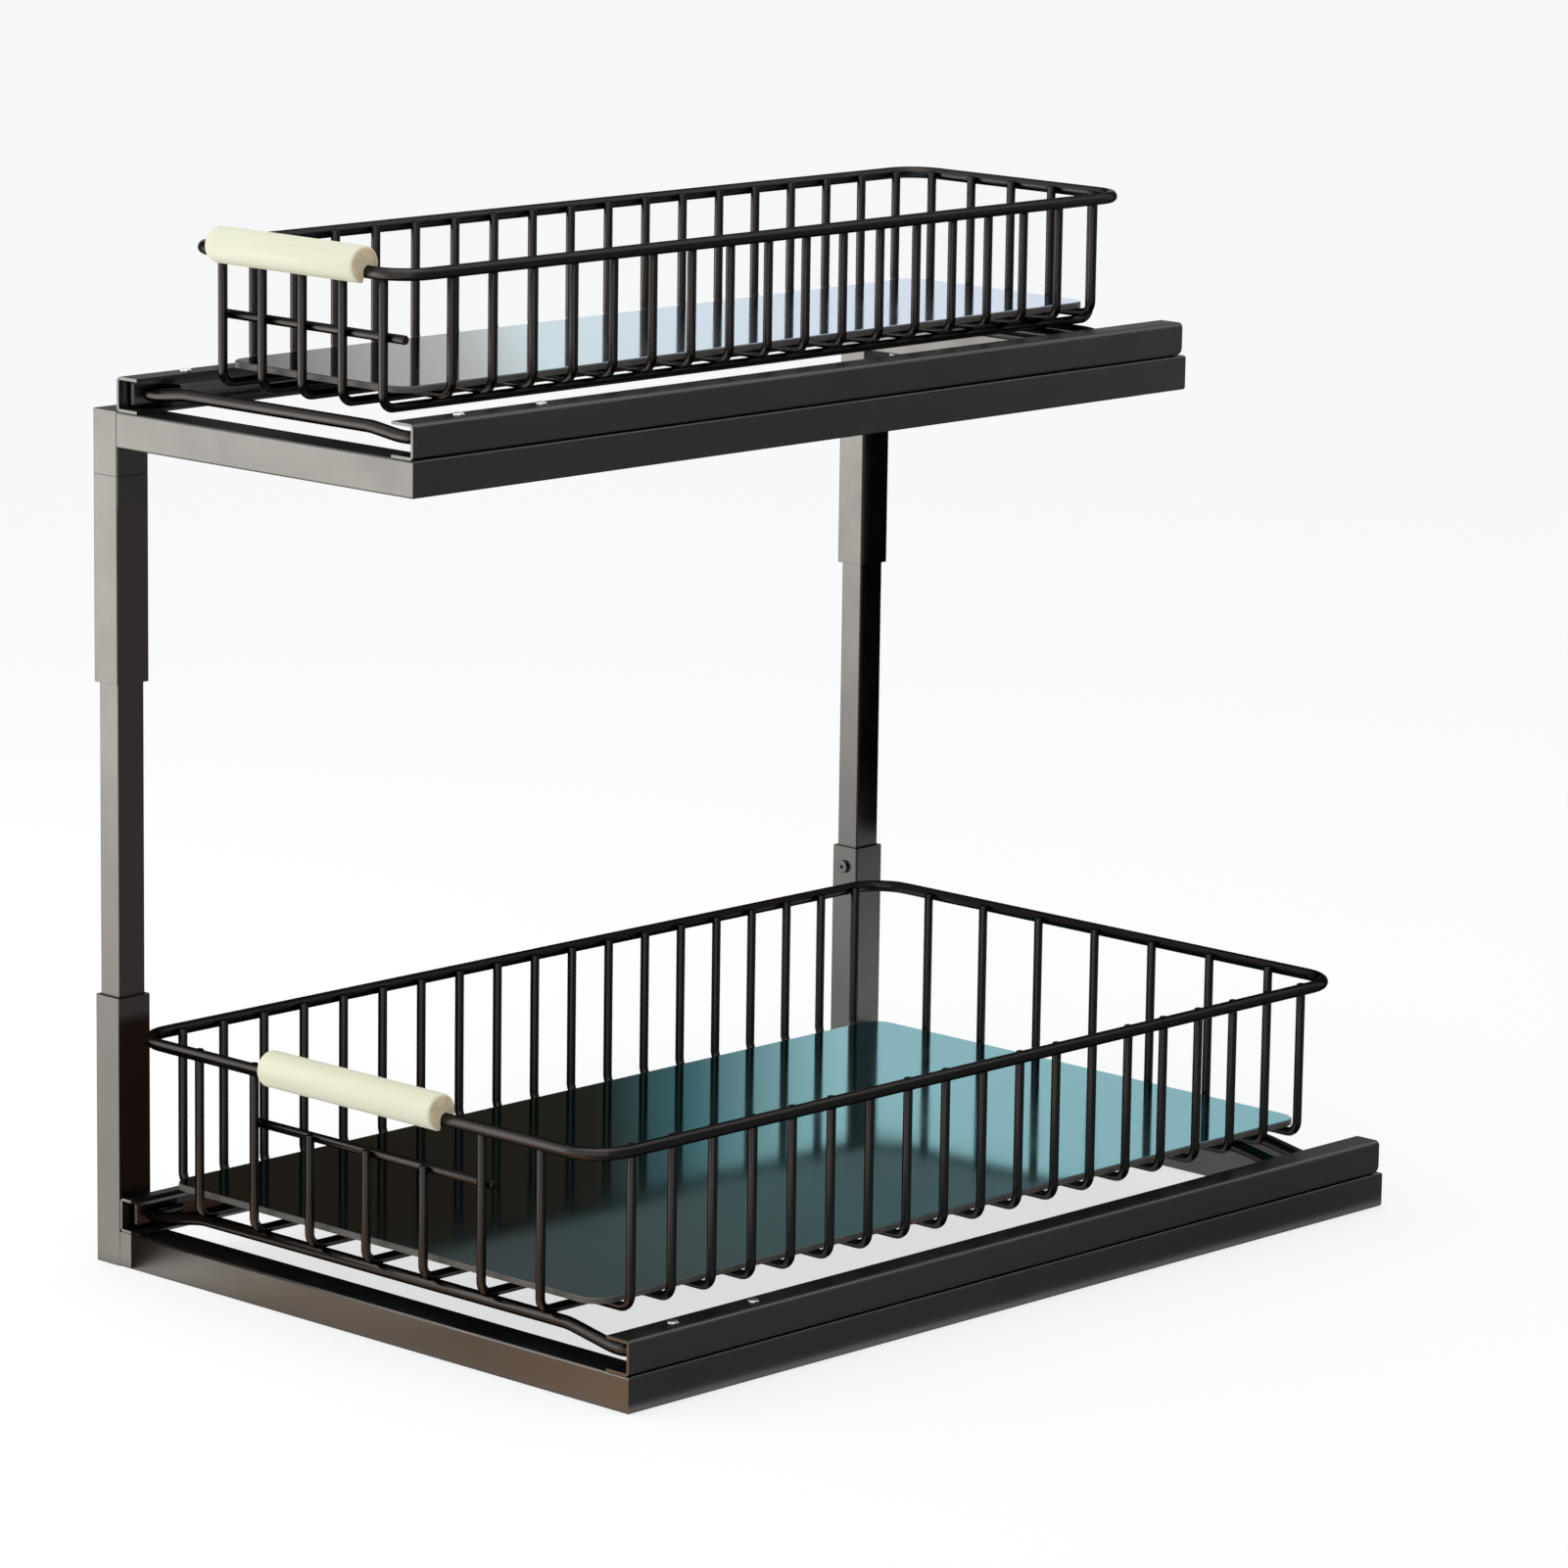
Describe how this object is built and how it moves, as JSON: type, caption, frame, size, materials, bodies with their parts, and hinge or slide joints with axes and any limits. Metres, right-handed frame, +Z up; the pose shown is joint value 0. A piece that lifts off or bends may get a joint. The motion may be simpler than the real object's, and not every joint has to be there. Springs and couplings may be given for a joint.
{
  "type": "pull out cabinet basket",
  "caption": "Tiered cabinet organizer: wire baskets with wooden grips that pull out on channels of an open, height-adjustable black steel frame.",
  "frame": {"origin": "middle of the footprint, on the surface the frame stands on", "axes": "+Z up; the baskets pull out towards -Y; +X from the posts to the open side"},
  "size_m": [0.292, 0.4424, 0.4074],
  "materials": {
    "black_frame": "satin black powder coat",
    "black_wire": "glossy black coated wire",
    "plain_steel": "plain",
    "bright_steel": "bright",
    "black_nylon": "matte",
    "mat_gloss": "high gloss smoky",
    "grip_wood": "pale, fine sanded"
  },
  "bodies": {
    "base": {"front_socket": "black_frame", "height_lock_screws": "bright_steel", "lower_back_tube": "black_frame", "lower_front_tube": "black_frame", "lower_guide_rivets": "bright_steel", "lower_left_back_stop": "black_nylon", "lower_left_channel": "black_frame", "lower_left_guide": "black_nylon", "lower_right_back_stop": "black_nylon", "lower_right_channel": "black_frame", "lower_right_guide": "black_nylon", "lower_side_tube": "black_frame", "rear_socket": "black_frame"},
    "upper_tier": {"front_post": "black_frame", "front_sleeve": "black_frame", "rear_post": "black_frame", "rear_sleeve": "black_frame", "upper_back_tube": "black_frame", "upper_front_corner": "black_frame", "upper_front_tube": "black_frame", "upper_guide_rivets": "bright_steel", "upper_left_back_stop": "black_nylon", "upper_left_channel": "black_frame", "upper_left_guide": "black_nylon", "upper_rear_corner": "black_frame", "upper_right_back_stop": "black_nylon", "upper_right_channel": "black_frame", "upper_right_guide": "black_nylon", "upper_side_tube": "black_frame"},
    "lower_drawer": {"lower_basket_bar": "black_wire", "lower_basket_cross_wires": "black_wire", "lower_basket_long_wires": "black_wire", "lower_basket_mat": "mat_gloss", "lower_basket_rim": "black_wire", "lower_front_carrier": "black_wire", "lower_grip": "grip_wood", "lower_left_runner": "plain_steel", "lower_left_shoe": "black_nylon", "lower_rear_carrier": "black_wire", "lower_right_runner": "plain_steel", "lower_right_shoe": "black_nylon"},
    "upper_drawer": {"upper_basket_bar": "black_wire", "upper_basket_cross_wires": "black_wire", "upper_basket_long_wires": "black_wire", "upper_basket_mat": "mat_gloss", "upper_basket_rim": "black_wire", "upper_front_carrier": "black_wire", "upper_grip": "grip_wood", "upper_left_runner": "plain_steel", "upper_left_shoe": "black_nylon", "upper_rear_carrier": "black_wire", "upper_right_runner": "plain_steel", "upper_right_shoe": "black_nylon"}
  },
  "joints": [
    {"name": "lower_basket_slide", "type": "slide", "parent": "base", "child": "lower_drawer", "axis": [0, -1, 0], "range_m": [0, 0.285]},
    {"name": "upper_basket_slide", "type": "slide", "parent": "upper_tier", "child": "upper_drawer", "axis": [0, -1, 0], "range_m": [0, 0.285]},
    {"name": "tier_height", "type": "slide", "parent": "base", "child": "upper_tier", "axis": [0, 0, 1], "range_m": [-0.06, 0]}
  ]
}
